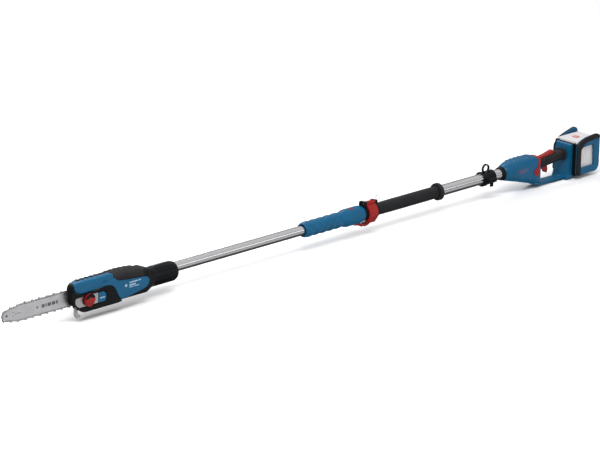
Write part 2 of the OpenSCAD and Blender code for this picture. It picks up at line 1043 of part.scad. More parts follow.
module lock_lever() {
    color([0.75, 0.12, 0.08])
        difference() {
            slab_y(-6.5, 6.5)
                polygon([[-108, 12], [-108, 18], [-76, 23], [-50, 29.5], [-43, 28.5], [-40, 24], [-42, 20], [-50, 16.5],
                    [-100, 12]]);
            rod_y(lock_pin[0], lock_pin[1], -10, 10, 1.5 + run_fit);
        }
}

// ---- battery pack ----

module battery_case() {
    color([0.85, 0.86, 0.87])
        difference() {
            slab_x(pack_front, pack_rear)
                round_rect(-pack_half, pack_half, pack_bottom, pack_top, 6);
            box(pack_front + 9, pack_rear - 2, -pack_half + 2, pack_half - 2, pack_bottom + 2, pack_top - 3);
            for (side = [-1, 1])
                box(pack_front - 1, 29, side < 0 ? -35 : 29, side < 0 ? -29 : 35, pack_bottom - 1, pack_top - 4);
            box(53, 69, -9, 9, pack_top - 4, pack_top + 1);
        }
}

module battery_cells() {
    color([0.3, 0.55, 0.4])
        for (i = [0, 1], j = [0 : 4])
            rod_y(60 + i * 21, -38 + j * 18.4, -32.5, 32.5, 9);
}

module battery_latch() {
    color([0.75, 0.1, 0.08])
        box(53.5, 68.5, -8.5, 8.5, pack_top - 0.5, pack_top + 3);
}

inner_tube();
slide_bush();
front_lead();
housing_far();
housing_near();
top_cover();
top_ridge();
top_pad();
side_panel();
chain_cover();
cover_plate();
cover_insert();
bar_stud();
guide_bar();
saw_chain();
branch_hook();
bumper_spikes();
motor_stator();
bearings();
oil_tank();
head_screws();
rotor();
drive_sprocket();
output_gear();
nose_sprocket();
bar_knob();
knob_cap();
oil_cap();
outer_tube();
sleeve_near();
sleeve_far();
clamp_collar();
clamp_pin();
pin_clip();
foam_grip();
grip_end_ring();
coil_lead();
nose_ring();
handle_shell_near();
handle_shell_far();
handle_trim();
grip_cover();
trigger_switch();
control_board();
battery_cradle();
guard_near();
guard_far();
guard_bumpers();
rear_foot();
handle_fasteners();
clamp_lever();
release_catch();
strap_clamp_upper();
strap_clamp_lower();
strap_screw();
trigger();
lock_lever();
battery_case();
battery_cells();
battery_latch();
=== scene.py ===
import json
from math import atan2, cos, hypot, pi, radians, sin

import bmesh
import bpy
from mathutils import Matrix, Vector


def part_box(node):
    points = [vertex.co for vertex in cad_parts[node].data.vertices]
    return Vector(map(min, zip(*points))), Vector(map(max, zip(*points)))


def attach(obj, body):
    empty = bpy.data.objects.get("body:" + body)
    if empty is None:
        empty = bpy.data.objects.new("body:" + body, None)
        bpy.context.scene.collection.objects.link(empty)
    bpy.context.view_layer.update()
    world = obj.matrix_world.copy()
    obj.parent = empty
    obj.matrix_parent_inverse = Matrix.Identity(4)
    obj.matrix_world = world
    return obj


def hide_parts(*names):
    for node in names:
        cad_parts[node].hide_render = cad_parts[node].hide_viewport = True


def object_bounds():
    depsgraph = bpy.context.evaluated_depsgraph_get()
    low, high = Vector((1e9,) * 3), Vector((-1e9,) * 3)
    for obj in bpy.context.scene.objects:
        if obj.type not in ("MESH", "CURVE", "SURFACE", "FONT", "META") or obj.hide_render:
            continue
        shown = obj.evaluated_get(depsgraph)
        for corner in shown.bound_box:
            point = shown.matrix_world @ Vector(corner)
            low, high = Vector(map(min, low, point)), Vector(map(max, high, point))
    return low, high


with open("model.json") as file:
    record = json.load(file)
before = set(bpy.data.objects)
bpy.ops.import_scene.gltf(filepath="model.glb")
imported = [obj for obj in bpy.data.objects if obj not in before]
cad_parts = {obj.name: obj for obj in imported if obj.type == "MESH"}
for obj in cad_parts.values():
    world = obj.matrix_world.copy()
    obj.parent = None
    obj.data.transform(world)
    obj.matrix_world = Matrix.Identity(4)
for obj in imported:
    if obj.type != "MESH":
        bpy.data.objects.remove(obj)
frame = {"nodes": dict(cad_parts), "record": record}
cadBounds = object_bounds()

mm = 0.001
scene = bpy.context.scene
nodes = frame["nodes"]
tubeLow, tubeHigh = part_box("outer_tube")
poleZ = (tubeLow.z + tubeHigh.z) / 2  # height of the pole's axis
print("frame loaded:", len(nodes), "nodes")


# small helpers for shader graphs
def newMaterial(name, roughness, metallic=0.0, specular=0.5):
    material = bpy.data.materials.new(name)
    material.use_nodes = True
    graph = material.node_tree
    shader = graph.nodes["Principled BSDF"]
    shader.inputs["Roughness"].default_value = roughness
    shader.inputs["Metallic"].default_value = metallic
    shader.inputs["Specular IOR Level"].default_value = specular
    return material, graph, shader


def placedPattern(graph, scale=(1, 1, 1)):
    coords = graph.nodes.new("ShaderNodeTexCoord")
    mapping = graph.nodes.new("ShaderNodeMapping")
    mapping.inputs["Scale"].default_value = scale
    graph.links.new(coords.outputs["Object"], mapping.inputs["Vector"])
    return mapping.outputs["Vector"]


def noise(graph, vector, scale, detail=3.0, rough=0.55):
    texture = graph.nodes.new("ShaderNodeTexNoise")
    texture.inputs["Scale"].default_value = scale
    texture.inputs["Detail"].default_value = detail
    texture.inputs["Roughness"].default_value = rough
    graph.links.new(vector, texture.inputs["Vector"])
    return texture.outputs["Fac"]


def spread(graph, value, low, high, toLow=0.0, toHigh=1.0):
    rangeNode = graph.nodes.new("ShaderNodeMapRange")
    rangeNode.inputs["From Min"].default_value = low
    rangeNode.inputs["From Max"].default_value = high
    rangeNode.inputs["To Min"].default_value = toLow
    rangeNode.inputs["To Max"].default_value = toHigh
    graph.links.new(value, rangeNode.inputs["Value"])
    return rangeNode.outputs["Result"]


def combine(graph, operation, first, second):
    node = graph.nodes.new("ShaderNodeMath")
    node.operation = operation
    for socket, value in zip(node.inputs, (first, second)):
        if isinstance(value, (int, float)):
            socket.default_value = value
        else:
            graph.links.new(value, socket)
    return node.outputs["Value"]


def mixColours(graph, factor, first, second):
    node = graph.nodes.new("ShaderNodeMix")
    node.data_type = "RGBA"
    if isinstance(factor, (int, float)):
        node.inputs["Factor"].default_value = factor
    else:
        graph.links.new(factor, node.inputs["Factor"])
    for socket, value in ((node.inputs[6], first), (node.inputs[7], second)):
        if isinstance(value, (tuple, list)):
            socket.default_value = (*value[:3], 1.0)
        else:
            graph.links.new(value, socket)
    return node.outputs[2]


def bumpFrom(graph, shader, height, strength, distance):
    bump = graph.nodes.new("ShaderNodeBump")
    bump.inputs["Strength"].default_value = strength
    bump.inputs["Distance"].default_value = distance
    graph.links.new(height, bump.inputs["Height"])
    graph.links.new(bump.outputs["Normal"], shader.inputs["Normal"])


# moulded plastic: a fine spark-eroded grain, slow tone drift and rubbed patches
def mouldedPlastic(name, colour, deep, roughness, grain=2600, specular=0.2, rub=0.10):
    material, graph, shader = newMaterial(name, roughness, specular=specular)
    vector = placedPattern(graph)
    drift = spread(graph, noise(graph, vector, 14, 2), 0.3, 0.7)
    tone = mixColours(graph, drift, deep, colour)
    scuffs = spread(graph, noise(graph, placedPattern(graph, (1, 2.4, 2.4)), 240, 5, 0.7), 0.62, 0.74, 0.0,
                    rub)
    pale = tuple(min(1.0, c * 1.5 + 0.006) for c in colour)
    graph.links.new(mixColours(graph, scuffs, tone, pale), shader.inputs["Base Color"])
    grainHeight = noise(graph, vector, grain, 2)
    wear = noise(graph, vector, 60, 3)
    graph.links.new(spread(graph, wear, 0.25, 0.75, roughness - 0.06, roughness + 0.08),
                    shader.inputs["Roughness"])
    bumpFrom(graph, shader, combine(graph, "ADD", grainHeight, combine(graph, "MULTIPLY", scuffs, -1.5)),
             0.16, 0.00012)
    return material


# drawn and brushed tube: long streaks along X
def brushedTube(name):
    material, graph, shader = newMaterial(name, 0.2, metallic=1.0)
    streaks = noise(graph, placedPattern(graph, (0.5, 90, 90)), 9, 6, 0.6)
    fine = noise(graph, placedPattern(graph, (1.5, 700, 700)), 3, 3, 0.5)
    both = combine(graph, "ADD", combine(graph, "MULTIPLY", streaks, 0.6),
                   combine(graph, "MULTIPLY", fine, 0.4))
    tone = mixColours(graph, spread(graph, both, 0.3, 0.7), (0.52, 0.52, 0.53), (0.64, 0.64, 0.65))
    handled = spread(graph, noise(graph, placedPattern(graph), 7, 4), 0.45, 0.7)
    graph.links.new(mixColours(graph, handled, tone, (0.58, 0.58, 0.585)), shader.inputs["Base Color"])
    graph.links.new(spread(graph, both, 0.3, 0.7, 0.25, 0.19), shader.inputs["Roughness"])
    bumpFrom(graph, shader, both, 0.03, 0.0001)
    return material


# ground or rolled steel, with grain along one axis and light handling marks
def groundSteel(name, colour, grainScale=(3, 120, 120), roughness=0.34):
    material, graph, shader = newMaterial(name, roughness, metallic=1.0)
    grain = noise(graph, placedPattern(graph, grainScale), 8, 5, 0.6)
    cloud = noise(graph, placedPattern(graph), 45, 4)
    dark = tuple(c * 0.72 for c in colour)
    tone = mixColours(graph, spread(graph, grain, 0.3, 0.7), dark, colour)
    stained = tuple(c * f for c, f in zip(colour, (0.86, 0.84, 0.80)))
    graph.links.new(mixColours(graph, spread(graph, cloud, 0.5, 0.75), tone, stained),
                    shader.inputs["Base Color"])
    graph.links.new(spread(graph, cloud, 0.3, 0.7, roughness - 0.08, roughness + 0.12),
                    shader.inputs["Roughness"])
    bumpFrom(graph, shader, grain, 0.15, 0.0001)
    return material


# cast light alloy: a pebbled skin with duller hollows
def castAlloy(name, colour):
    material, graph, shader = newMaterial(name, 0.5, metallic=0.75)
    pebbles = noise(graph, placedPattern(graph), 900, 4, 0.6)
    cloud = noise(graph, placedPattern(graph), 90, 3)
    dull = tuple(c * 0.8 for c in colour)
    graph.links.new(mixColours(graph, spread(graph, cloud, 0.35, 0.65), dull, colour),
                    shader.inputs["Base Color"])
    graph.links.new(spread(graph, pebbles, 0.3, 0.7, 0.42, 0.6), shader.inputs["Roughness"])
    bumpFrom(graph, shader, pebbles, 0.3, 0.0003)
    return material


# soft rubber overmould: matt, with a dusty bloom
def softRubber(name, colour, grain=1500, roughness=0.72):
    material, graph, shader = newMaterial(name, roughness, specular=0.22)
    vector = placedPattern(graph)
    dust = spread(graph, noise(graph, vector, 35, 5, 0.65), 0.45, 0.75, 0.0, 0.35)
    dusty = tuple(c * 1.7 + 0.006 for c in colour)
    graph.links.new(mixColours(graph, dust, colour, dusty), shader.inputs["Base Color"])
    graph.links.new(spread(graph, noise(graph, vector, 80, 3), 0.3, 0.7, roughness - 0.08, roughness + 0.08),
                    shader.inputs["Roughness"])
    bumpFrom(graph, shader, noise(graph, vector, grain, 3), 0.3, 0.0002)
    return material


# closed-cell foam: open skin pores, their hollows painted darker as shade, and a slightly paler worn nap
def gripFoam(name, colour):
    material, graph, shader = newMaterial(name, 0.55, specular=0.2)
    shader.inputs["Sheen Weight"].default_value = 0.02
    vector = placedPattern(graph)
    cells = graph.nodes.new("ShaderNodeTexVoronoi")
    cells.inputs["Scale"].default_value = 1100
    graph.links.new(vector, cells.inputs["Vector"])
    poreHollowsAndShade = spread(graph, cells.outputs["Distance"], 0.1, 0.6)
    patches = spread(graph, noise(graph, vector, 22, 4), 0.4, 0.7)
    worn = tuple(c * 1.5 for c in colour)
    deep = tuple(c * 0.6 for c in colour)
    skin = mixColours(graph, patches, colour, worn)
    # painted shade: the pore hollows, low in the bump, get the darker colour
    graph.links.new(mixColours(graph, poreHollowsAndShade, deep, skin), shader.inputs["Base Color"])
    bumpFrom(graph, shader, combine(graph, "ADD", poreHollowsAndShade, noise(graph, vector, 300, 3)), 0.45, 0.0004)
    return material


# milky or pale case plastic, faintly see-through at its edges; with ribs, the flute grooves are painted
# darker as shade
def paleCase(name, colour, deep, ribs=False):
    material, graph, shader = newMaterial(name, 0.42)
    shader.inputs["Subsurface Weight"].default_value = 0.05
    vector = placedPattern(graph)
    tone = mixColours(graph, spread(graph, noise(graph, vector, 20, 3), 0.3, 0.7), deep, colour)
    graph.links.new(tone, shader.inputs["Base Color"])
    graph.links.new(spread(graph, noise(graph, vector, 70, 3), 0.3, 0.7, 0.36, 0.5),
                    shader.inputs["Roughness"])
    if ribs:
        flutesShadedInGrooves = graph.nodes.new("ShaderNodeTexWave")
        flutesShadedInGrooves.bands_direction = "X"
        flutesShadedInGrooves.inputs["Scale"].default_value = 50
        graph.links.new(vector, flutesShadedInGrooves.inputs["Vector"])
        height = spread(graph, flutesShadedInGrooves.outputs["Fac"], 0.2, 0.8)
        # painted shade: where the flutes' bump is low, in the grooves, the case gets a darker colour
        graph.links.new(mixColours(graph, height, tuple(c * 0.82 for c in deep), tone),
                        shader.inputs["Base Color"])
        bumpFrom(graph, shader, height, 0.5, 0.0008)
    else:
        bumpFrom(graph, shader, noise(graph, vector, 2200, 2), 0.12, 0.0001)
    return material


# wound copper over stacked laminations; the grooves between turns are painted darker as shade
def woundCopper(name):
    material, graph, shader = newMaterial(name, 0.4, metallic=0.8)
    wave = graph.nodes.new("ShaderNodeTexWave")
    wave.inputs["Scale"].default_value = 420
    wave.inputs["Distortion"].default_value = 0.6
    graph.links.new(placedPattern(graph), wave.inputs["Vector"])
    # painted shade: the wave's low grooves get the dark copper colour, its crests the bright one
    turnsAndGrooveShade = mixColours(graph, wave.outputs["Fac"], (0.35, 0.12, 0.04), (0.75, 0.36, 0.16))
    graph.links.new(turnsAndGrooveShade, shader.inputs["Base Color"])
    bumpFrom(graph, shader, wave.outputs["Fac"], 0.5, 0.0003)
    return material


blue = (0.0025, 0.082, 0.175)
blueDeep = (0.002, 0.070, 0.150)
black = (0.0045, 0.005, 0.006)
blackDeep = (0.0035, 0.004, 0.0048)
red = (0.27, 0.012, 0.011)
redDeep = (0.20, 0.008, 0.007)

finishes = {
    "blue_shell": mouldedPlastic("bluePlastic", blue, blueDeep, 0.34),
    "black_shell": mouldedPlastic("blackPlastic", black, blackDeep, 0.4, specular=0.12),
    "black_rubber": softRubber("rubberOvermould", (0.011, 0.0105, 0.012)),
    "red_plastic": mouldedPlastic("redPlastic", red, redDeep, 0.36),
    "bare_tube": brushedTube("drawnTube"),
    "tool_steel": groundSteel("groundBar", (0.82, 0.82, 0.84)),
    "dark_steel": groundSteel("blackenedSteel", (0.16, 0.16, 0.17), (1, 1, 1), 0.42),
    "chain_steel": groundSteel("chainLinks", (0.58, 0.58, 0.60), (1, 1, 1), 0.36),
    "cover_metal": groundSteel("brushedCover", (0.60, 0.59, 0.58), (160, 3, 3), 0.3),
    "cast_grey": castAlloy("castHook", (0.62, 0.62, 0.60)),
    "foam": gripFoam("foamSkin", (0.0065, 0.007, 0.008)),
    "pack_case": paleCase("paleCase", (0.72, 0.68, 0.69), (0.62, 0.59, 0.60), ribs=True),
    "cell_wrap": mouldedPlastic("cellWrap", (0.10, 0.38, 0.25), (0.07, 0.28, 0.18), 0.25),
    "winding": woundCopper("motorWinding"),
    "tank": paleCase("milkyTank", (0.75, 0.70, 0.56), (0.68, 0.62, 0.48)),
    "lead": softRubber("cableJacket", (0.016, 0.016, 0.017), 800, 0.55),
    "board": mouldedPlastic("boardLacquer", (0.02, 0.18, 0.06), (0.015, 0.12, 0.04), 0.3),
    "nylon": mouldedPlastic("dryNylon", (0.19, 0.19, 0.20), (0.15, 0.15, 0.16), 0.55),
}
inks = {
    "pale": mouldedPlastic("paleInk", (0.32, 0.42, 0.52), (0.26, 0.36, 0.46), 0.5, rub=0.0),
    "faint": mouldedPlastic("faintInk", (0.085, 0.085, 0.16), (0.06, 0.06, 0.12), 0.5, rub=0.0),
    "grey": mouldedPlastic("greyInk", (0.10, 0.10, 0.11), (0.07, 0.07, 0.08), 0.5, rub=0.0),
}
fadedRed = mouldedPlastic("fadedRed", (0.62, 0.30, 0.27), (0.55, 0.24, 0.21), 0.45)
print("finishes made:", len(finishes))


# the CAD nodes keep their shape, and get a finish and rounded edges
edgeRounding = {"default": 0.5 * mm, "bar_knob": 1.2 * mm, "branch_hook": 1.6 * mm, "oil_cap": 0.8 * mm,
                "battery_latch": 1.0 * mm, "rear_foot": 1.0 * mm, "pin_clip": 0.0, "inner_tube": 0.3 * mm,
                "outer_tube": 0.3 * mm, "slide_bush": 0.1 * mm, "rotor": 0.3 * mm, "bearings": 0.3 * mm}
slotOf = {part["node"]: part["material_slot"] for part in frame["record"]["subparts"]}

for nodeName, node in nodes.items():
    node.data.materials.clear()
    node.data.materials.append(fadedRed if nodeName == "battery_latch" else finishes[slotOf[nodeName]])
    rounding = edgeRounding.get(nodeName, edgeRounding["default"])
    weld = node.modifiers.new("weld", "WELD")
    weld.merge_threshold = 0.02 * mm
    if rounding:
        flat = node.modifiers.new("flatten", "DECIMATE")
        flat.decimate_type = "DISSOLVE"
        flat.angle_limit = radians(1.0)
        bevel = node.modifiers.new("edges", "BEVEL")
        bevel.width = rounding
        bevel.segments = 2
        bevel.limit_method = "ANGLE"
        bevel.angle_limit = radians(32)
        bevel.use_clamp_overlap = True
    node.modifiers.new("shade", "WEIGHTED_NORMAL").keep_sharp = True
print("CAD nodes finished")
# helpers for new pieces: X and Y in millimetres, Z in millimetres above the pole's axis
def spot(x, y, z):
    return Vector((x * mm, y * mm, poleZ + z * mm))


def place(bm, name, body, slotName, stands=(), rounding=0.0, segments=3, material=None, angle=32,
          smooth=True):
    bmesh.ops.recalc_face_normals(bm, faces=bm.faces[:])
    if smooth:
        for face in bm.faces:
            face.smooth = True
    mesh = bpy.data.meshes.new(name)
    bm.to_mesh(mesh)
    bm.free()
    mesh.materials.append(material or finishes[slotName])
    piece = bpy.data.objects.new(name, mesh)
    scene.collection.objects.link(piece)
    if rounding:
        bevel = piece.modifiers.new("edges", "BEVEL")
        bevel.width = rounding * mm
        bevel.segments = segments
        bevel.limit_method = "ANGLE"
        bevel.angle_limit = radians(angle)
        bevel.use_clamp_overlap = True
        piece.modifiers.new("shade", "WEIGHTED_NORMAL").keep_sharp = True
    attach(piece, body)
    if stands:
        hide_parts(*stands)
    return piece


# a flat outline in X and Z, its listed corners rounded, made thick from nearY to farY; window cuts it open
def addPlate(bm, outline, nearY, farY, window=None, matrix=None):
    oldVerts = set(bm.verts)
    flat = []
    for shape in (outline, window):
        if not shape:
            continue
        earlier = set(bm.faces)
        verts = [bm.verts.new(spot(x, nearY, z)) for x, z, radius in shape]
        bm.faces.new(verts)
        for size in sorted({radius for x, z, radius in shape if radius}):
            rounded = [v for v, corner in zip(verts, shape) if corner[2] == size]
            bmesh.ops.bevel(bm, geom=rounded, offset=size * mm, offset_type="OFFSET", segments=5, profile=0.5,
                            affect="VERTICES", clamp_overlap=False, material=-1)
        flat += [f for f in bm.faces if f not in earlier]
    if window:
        rims = list({e for f in flat for e in f.edges})
        bmesh.ops.delete(bm, geom=flat, context="FACES_ONLY")
        filled = bmesh.ops.triangle_fill(bm, use_beauty=True, use_dissolve=False, edges=rims)["geom"]
        flat = [f for f in filled if isinstance(f, bmesh.types.BMFace)]
    grown = bmesh.ops.extrude_face_region(bm, geom=flat, use_keep_orig=True)["geom"]
    moved = [v for v in grown if isinstance(v, bmesh.types.BMVert)]
    bmesh.ops.translate(bm, vec=(0, (farY - nearY) * mm, 0), verts=moved)
    if matrix:
        bmesh.ops.transform(bm, matrix=matrix, verts=[v for v in bm.verts if v not in oldVerts])


def corners(points, radius):
    return [(x, z, radius) for x, z in points]


def boxCorners(x0, x1, z0, z1, radius):
    return corners([(x0, z0), (x1, z0), (x1, z1), (x0, z1)], radius)


# a smooth value between keyed rows, by cubic interpolation along X
def keyed(rows, x):
    for i in range(len(rows) - 1):
        if x <= rows[i + 1][0] or i == len(rows) - 2:
            break
    before = rows[max(i - 1, 0)]
    start = rows[i]
    end = rows[i + 1]
    after = rows[min(i + 2, len(rows) - 1)]
    span = end[0] - start[0]
    t = min(1.0, max(0.0, (x - start[0]) / span))
    values = []
    for k in range(1, len(start)):
        slope = (end[k] - start[k]) / span
        left = (start[k] - before[k]) / max(1e-6, start[0] - before[0]) if i > 0 else slope
        right = (after[k] - end[k]) / max(1e-6, after[0] - end[0]) if i < len(rows) - 2 else slope
        m0 = 0.0 if left * slope <= 0 else 2 * left * slope / (left + slope)
        m1 = 0.0 if right * slope <= 0 else 2 * right * slope / (right + slope)
        values.append((2 * t**3 - 3 * t**2 + 1) * start[k] + (t**3 - 2 * t**2 + t) * span * m0
                      + (3 * t**2 - 2 * t**3) * end[k] + (t**3 - t**2) * span * m1)
    return values


# rounded sections along X, bridged into one skin; rows are (x, nearY, farY, lowZ, highZ, squareness)
def loftX(bm, rows, step=3.0, sides=56, lift=None, shift=None):
    count = max(2, round((rows[-1][0] - rows[0][0]) / step))
    stations = [rows[0][0] + (rows[-1][0] - rows[0][0]) * i / count for i in range(count + 1)]
    rings = []
    for x in stations:
        nearY, farY, lowZ, highZ, squareness = keyed(rows, x)
        ring = bmesh.ops.create_circle(bm, segments=sides, radius=1.0)["verts"]
        for vert in ring:
            angle = atan2(vert.co.y, vert.co.x)
            c, s = cos(angle), sin(angle)
            reach = (abs(c) ** squareness + abs(s) ** squareness) ** (-1 / squareness)
            y = (nearY + farY) / 2 + (farY - nearY) / 2 * c * reach
            z = (lowZ + highZ) / 2 + (highZ - lowZ) / 2 * s * reach
            out = lift(x, y, z) if lift else 0.0
            along = shift(x, y, z) if shift else 0.0
            vert.co = spot(x + along, y + c * out, z + s * out)
        rings.append(ring)
    loopOf = [list({edge for v in ring for edge in v.link_edges}) for ring in rings]
    for first, second in zip(loopOf, loopOf[1:]):
        bmesh.ops.bridge_loops(bm, edges=first + second)
    for loop in (loopOf[0], loopOf[-1]):
        bmesh.ops.holes_fill(bm, edges=loop, sides=0)


# a closed profile of (x, radius) turned about an axis along X
def turnX(bm, profile, centre=(0, 0), steps=64):
    verts = [bm.verts.new(spot(x, centre[0], centre[1] + radius)) for x, radius in profile]
    edges = [bm.edges.new((a, b)) for a, b in zip(verts, verts[1:] + verts[:1])]
    bmesh.ops.spin(bm, geom=verts + edges, cent=spot(0, *centre), axis=(1, 0, 0), angle=2 * pi, steps=steps,
                   use_merge=True)


def addBlock(bm, x0, x1, y0, y1, z0, z1):
    matrix = Matrix.Translation(spot((x0 + x1) / 2, (y0 + y1) / 2, (z0 + z1) / 2))
    size = Matrix.Diagonal(((x1 - x0) * mm, (y1 - y0) * mm, (z1 - z0) * mm, 1))
    bmesh.ops.create_cube(bm, size=1.0, matrix=matrix @ size)


def addPin(bm, x, y0, y1, z, radius, segments=20):
    matrix = Matrix.Translation(spot(x, (y0 + y1) / 2, z)) @ Matrix.Rotation(pi / 2, 4, "X")
    bmesh.ops.create_cone(bm, cap_ends=True, cap_tris=False, segments=segments, radius1=radius * mm,
                          radius2=radius * mm, depth=(y1 - y0) * mm, matrix=matrix)


# the rivets at the bar's nose, and the plain marks that stand where the real bar is printed
bar = {"noseX": -2189, "z": 3, "y": -13, "half": 19.5, "noseR": 12, "tailX": -1895, "taper": 44,
       "sprocket": {"x": -1885, "z": 0, "r": 15.4}}
rivets = {"places": ((6, 0), (-3.5, 5), (-3.5, -5)), "behindNose": 26, "r": 1.5, "hubR": 3.4, "under": -1.4}

bm = bmesh.new()
for dx, dz in rivets["places"]:
    addPin(bm, bar["noseX"] + rivets["behindNose"] + dx, bar["y"] - 1.75, bar["y"] + rivets["under"],
           bar["z"] + dz, rivets["r"])
addPin(bm, bar["noseX"], bar["y"] - 1.9, bar["y"] + rivets["under"], bar["z"], rivets["hubR"], 28)
place(bm, "barRivets", "saw_head", "dark_steel", rounding=0.15, segments=1)

marks = {"ringX": -2082, "ringR": 7, "ringWidth": 1.4, "dotR": 3.2, "top": -1.54, "ink": 0.1, "half": 4.5,
         "blocks": ((-2067, -2056), (-2053, -2049), (-2046, -2034), (-2031, -2019), (-2016, -2010)),
         "dashX": -2158, "dashes": 4, "dashStep": 5, "dash": 3}
markTop = bar["y"] + marks["top"]
markFoot = markTop + marks["ink"]

bm = bmesh.new()
matrix = Matrix.Translation(spot(marks["ringX"], markTop, bar["z"])) @ Matrix.Rotation(pi / 2, 4, "X")
bmesh.ops.create_circle(bm, cap_ends=True, segments=40, radius=marks["ringR"] * mm, matrix=matrix)
bmesh.ops.inset_region(bm, faces=bm.faces[:], thickness=marks["ringWidth"] * mm)
bmesh.ops.delete(bm, geom=[max(bm.faces, key=lambda face: face.calc_area())], context="FACES")
ring = bmesh.ops.extrude_face_region(bm, geom=bm.faces[:])["geom"]
bmesh.ops.translate(bm, vec=(0, marks["ink"] * mm, 0),
                    verts=[v for v in ring if isinstance(v, bmesh.types.BMVert)])
addPin(bm, marks["ringX"], markTop, markFoot, bar["z"], marks["dotR"], 28)
for start, end in marks["blocks"]:
    addBlock(bm, start, end, markTop, markFoot, bar["z"] - marks["half"], bar["z"] + marks["half"])
for i in range(marks["dashes"]):
    start = marks["dashX"] + marks["dashStep"] * i
    addBlock(bm, start, start + marks["dash"], markTop, markFoot, bar["z"] - 1, bar["z"] + 1)
place(bm, "barMarks", "saw_head", "dark_steel", material=inks["grey"], smooth=False)


# the rivets' line round the bar: the hull of the nose, the bar's edges and the sprocket
def chainLine(grow):
    points = []
    sprocket = bar["sprocket"]
    for i in range(96):
        angle = 2 * pi * i / 96
        noseR = bar["noseR"] + grow
        points.append((bar["noseX"] + noseR * cos(angle), bar["z"] + noseR * sin(angle)))
        sprocketR = sprocket["r"] + grow
        points.append((sprocket["x"] + sprocketR * cos(angle), sprocket["z"] + sprocketR * sin(angle)))
    for x in (bar["noseX"] + bar["taper"], bar["tailX"]):
        points += [(x, bar["z"] + bar["half"] + grow), (x, bar["z"] - bar["half"] - grow)]
    points = sorted(set(points))
    hull = []
    for sweep in (points, points[::-1]):
        side = []
        for p in sweep:
            while len(side) > 1 and ((side[-1][0] - side[-2][0]) * (p[1] - side[-2][1])
                                     - (side[-1][1] - side[-2][1]) * (p[0] - side[-2][0])) <= 0:
                side.pop()
            side.append(p)
        hull += side[:-1]
    return hull


chain = {"rivetLine": 2.4, "cutterStep": 25.4, "plate": 1.0, "outside": 1.95, "driveHalf": 0.6,
         "rivetR": 1.15, "rivetLong": 4.6}
line = chainLine(chain["rivetLine"])
lengths = [hypot(b[0] - a[0], b[1] - a[1]) for a, b in zip(line, line[1:] + line[:1])]
total = sum(lengths)
tip = min(range(len(line)), key=lambda i: line[i][0])
tipAt = sum(lengths[:tip])
cutterCount = round(total / chain["cutterStep"])
spacing = total / cutterCount


# a place along the line, turned so that a link's own +Z points away from the bar
def chainFrame(distance):
    along = distance % total
    i = 0
    while along > lengths[i]:
        along -= lengths[i]
        i = (i + 1) % len(line)
    a, b = line[i], line[(i + 1) % len(line)]
    t = along / lengths[i]
    x, z = a[0] + (b[0] - a[0]) * t, a[1] + (b[1] - a[1]) * t
    angle = atan2(b[1] - a[1], b[0] - a[0])
    return Matrix.Translation(spot(x, 0, z)) @ Matrix.Rotation(pi - angle, 4,
                                                               "Y") @ Matrix.Translation(-spot(0, 0, 0))


links = {"strap": [(-5.1, -0.9), (-3.9, -1.8), (-1.5, -1.3), (1.5, -1.3), (3.9, -1.8), (5.1, -0.9),
                   (5.1, 0.9),
                   (3.9, 1.8), (-3.9, 1.8), (-5.1, 0.9)],
         "cutter": [(-5.1, -1.6), (5.1, -1.6), (5.6, 0.2), (5.0, 3.2), (4.0, 4.1), (3.3, 3.9), (2.8, 2.0),
                    (1.7, 1.6),
                    (0.9, 2.3), (0.4, 4.8), (-5.2, 4.2), (-5.8, 1.0)],
         "drive": [(-5.0, -1.0), (-2.4, -1.7), (-1.2, -3.6), (0.6, -3.8), (2.2, -1.7), (5.0, -1.0),
                   (5.0, 1.0),
                   (2.5, 1.7), (-2.5, 1.7), (-5.0, 1.0)]}
topPlate = {"x": -2.4, "z": 4.1, "long": 5.2, "wide": 2.6, "thick": 0.9, "lean": 0.2}

bm = bmesh.new()
for n in range(cutterCount):
    base = tipAt + spacing / 2 + n * spacing
    side = -1 if n % 2 else 1  # cutters stand on alternate sides
    y = bar["y"]
    near = (y - chain["outside"], y - chain["outside"] + chain["plate"])
    far = (y + chain["outside"] - chain["plate"], y + chain["outside"])
    cutFace, plainFace = (near, far) if side < 0 else (far, near)
    addPlate(bm, corners(links["cutter"], 0), *cutFace, matrix=chainFrame(base))
    addPlate(bm, corners(links["strap"], 0), *plainFace, matrix=chainFrame(base))
    middle = Matrix.Translation(spot(topPlate["x"], y + side * topPlate["lean"], topPlate["z"]))
    size = Matrix.Diagonal((topPlate["long"] * mm, topPlate["wide"] * mm, topPlate["thick"] * mm, 1))
    bmesh.ops.create_cube(bm, size=1.0, matrix=chainFrame(base) @ middle @ size)
    for face in (near, far):
        addPlate(bm, corners(links["strap"], 0), *face, matrix=chainFrame(base + spacing / 2))
    for part in (0.25, 0.75):
        addPlate(bm, corners(links["drive"], 0), y - chain["driveHalf"], y + chain["driveHalf"],
                 matrix=chainFrame(base + spacing * part))
    for part in (-0.125, 0.125, 0.375, 0.625):
        pin = Matrix.Translation(spot(0, y, 0)) @ Matrix.Rotation(pi / 2, 4, "X")
        bmesh.ops.create_cone(bm, cap_ends=True, cap_tris=False, segments=12, radius1=chain["rivetR"] * mm,
                              radius2=chain["rivetR"] * mm, depth=chain["rivetLong"] * mm,
                              matrix=chainFrame(base + spacing * part) @ pin)
place(bm, "chainLoop", "saw_head", "chain_steel", ("saw_chain",), rounding=0.18, segments=1, smooth=False)
print("bar and chain made:", cutterCount, "cutters")


